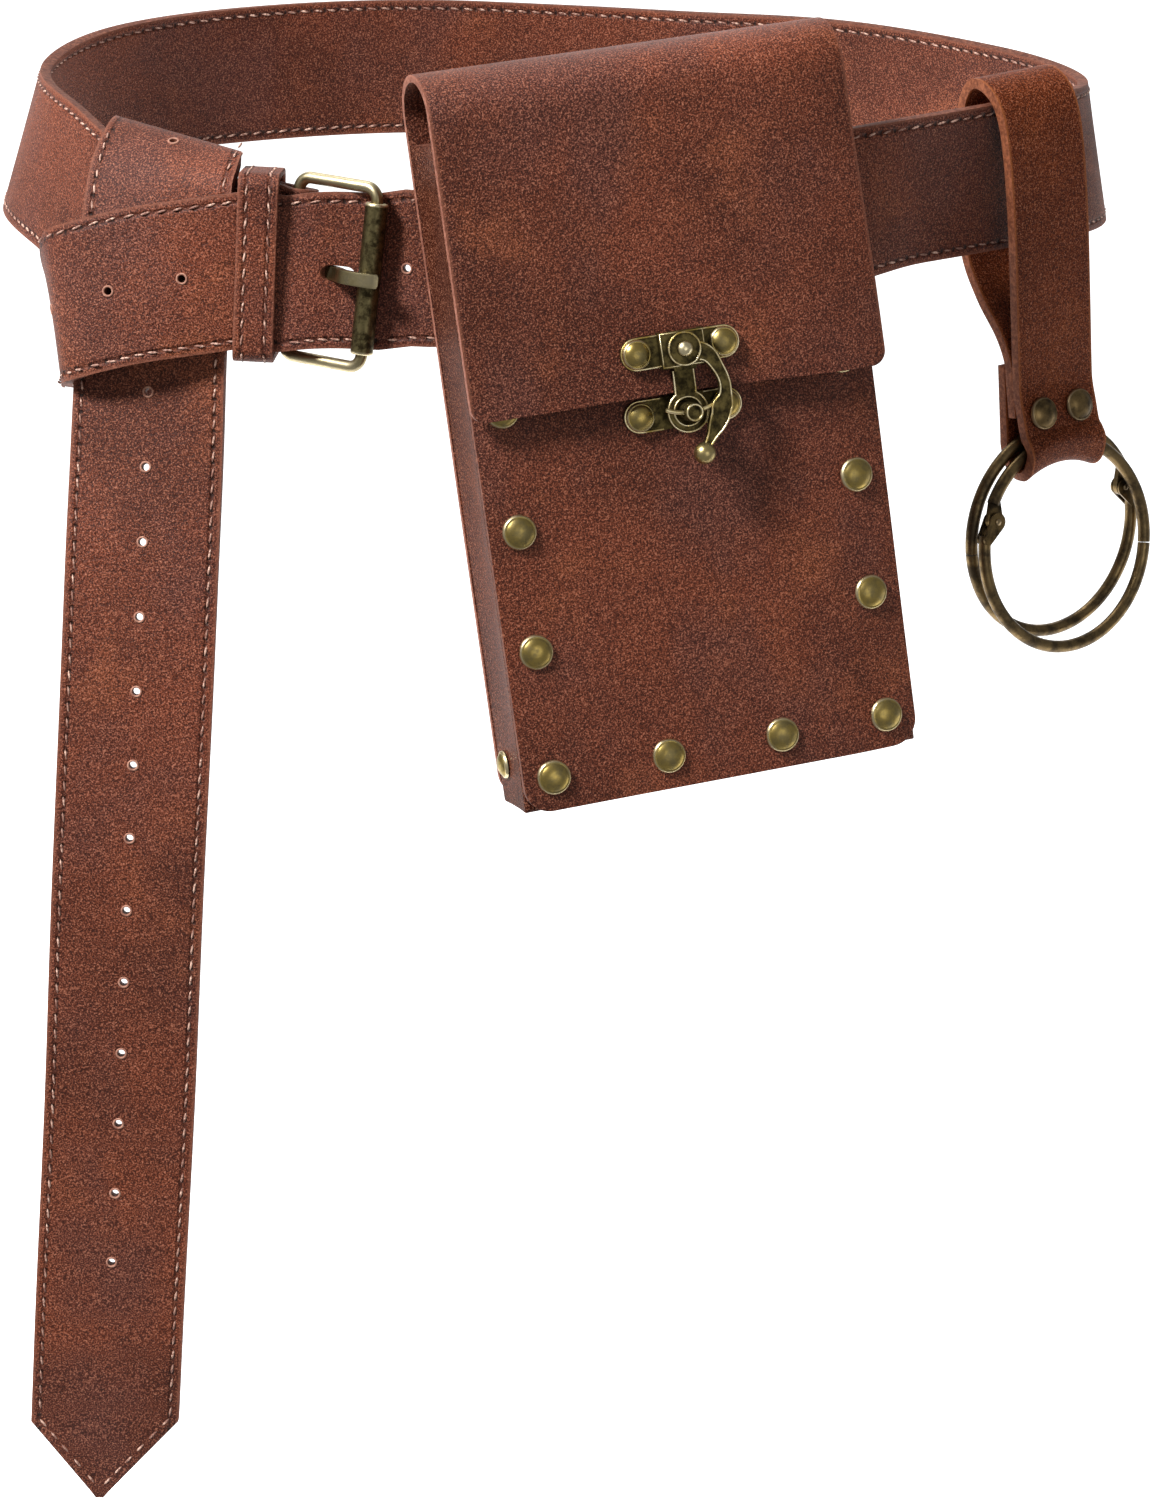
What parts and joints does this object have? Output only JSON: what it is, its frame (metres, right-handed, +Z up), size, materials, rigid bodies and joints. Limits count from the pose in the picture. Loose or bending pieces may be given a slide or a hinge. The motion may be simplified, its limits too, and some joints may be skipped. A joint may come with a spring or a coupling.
{
  "type": "medieval belt pouch",
  "caption": "Leather waist belt knotted over its buckle, with a tall riveted flap pouch closed by a swing clasp and a side strap carrying hinged rings.",
  "frame": {"origin": "middle of the waist loop, level with the belt's middle line", "axes": "+X to the right as seen from in front, -Y the wearer's front, +Z up"},
  "size_m": [0.3305, 0.2773, 0.4054],
  "materials": {
    "leather_brown": "waxed reddish brown, mottled",
    "leather_hanger": "smooth orange brown",
    "brass_antique": "antique brass with bright rims",
    "bronze_dark": "dark antique bronze"
  },
  "bodies": {
    "belt": {"back_loop_left": "leather_brown", "back_loop_right": "leather_brown", "back_rivet_1": "brass_antique", "back_rivet_2": "brass_antique", "back_rivet_3": "brass_antique", "back_rivet_4": "brass_antique", "back_rivet_5": "brass_antique", "back_rivet_6": "brass_antique", "belt_hanging_end": "leather_brown", "belt_keeper": "leather_brown", "belt_strap": "leather_brown", "buckle_frame": "brass_antique", "buckle_prong": "brass_antique", "buckle_roller": "brass_antique", "clasp_lower_plate": "brass_antique", "clasp_lower_rivet_1": "brass_antique", "clasp_lower_rivet_2": "brass_antique", "clasp_pivot": "brass_antique", "clasp_upper_plate": "brass_antique", "clasp_upper_rivet_1": "brass_antique", "clasp_upper_rivet_2": "brass_antique", "front_rivet_1": "brass_antique", "front_rivet_10": "brass_antique", "front_rivet_11": "brass_antique", "front_rivet_12": "brass_antique", "front_rivet_13": "brass_antique", "front_rivet_14": "brass_antique", "front_rivet_2": "brass_antique", "front_rivet_3": "brass_antique", "front_rivet_4": "brass_antique", "front_rivet_5": "brass_antique", "front_rivet_6": "brass_antique", "front_rivet_7": "brass_antique", "front_rivet_8": "brass_antique", "front_rivet_9": "brass_antique", "hanger_rivet_1": "bronze_dark", "hanger_rivet_2": "bronze_dark", "hanger_strap": "leather_hanger", "loop_rivet_1": "brass_antique", "loop_rivet_2": "brass_antique", "loop_rivet_3": "brass_antique", "loop_rivet_4": "brass_antique", "pouch_back_and_flap": "leather_brown", "pouch_front": "leather_brown", "pouch_gusset": "leather_brown", "side_rivet_left": "brass_antique", "side_rivet_right": "brass_antique"},
    "lever": {"clasp_lever": "brass_antique"},
    "ring_front": {"ring_front_upper": "bronze_dark"},
    "ring_front_gate": {"ring_front_lower": "bronze_dark"},
    "ring_back": {"ring_back_upper": "bronze_dark"},
    "ring_back_gate": {"ring_back_lower": "bronze_dark"}
  },
  "joints": [
    {"name": "lever_swing", "type": "hinge", "parent": "belt", "child": "lever", "pos_m": [0.03807, -0.15114, -0.03304], "axis": [0.2632, -0.9555, 0.1329], "range_deg": [0, 100]},
    {"name": "ring_front_swing", "type": "hinge", "parent": "belt", "child": "ring_front", "pos_m": [0.14519, -0.06202, -0.07733], "axis": [0.829, 0.5592, 0], "range_deg": [-15, 0]},
    {"name": "ring_back_swing", "type": "hinge", "parent": "belt", "child": "ring_back", "pos_m": [0.14347, -0.06002, -0.07405], "axis": [0.829, 0.5592, 0], "range_deg": [0, 13]},
    {"name": "ring_front_open", "type": "hinge", "parent": "ring_front", "child": "ring_front_gate", "pos_m": [0.127, -0.07662, -0.09568], "axis": [-0.5561, 0.8245, -0.1045], "range_deg": [0, 90]},
    {"name": "ring_back_open", "type": "hinge", "parent": "ring_back", "child": "ring_back_gate", "pos_m": [0.16658, -0.04444, -0.0925], "axis": [0.5592, -0.829, 0], "range_deg": [0, 90]}
  ]
}
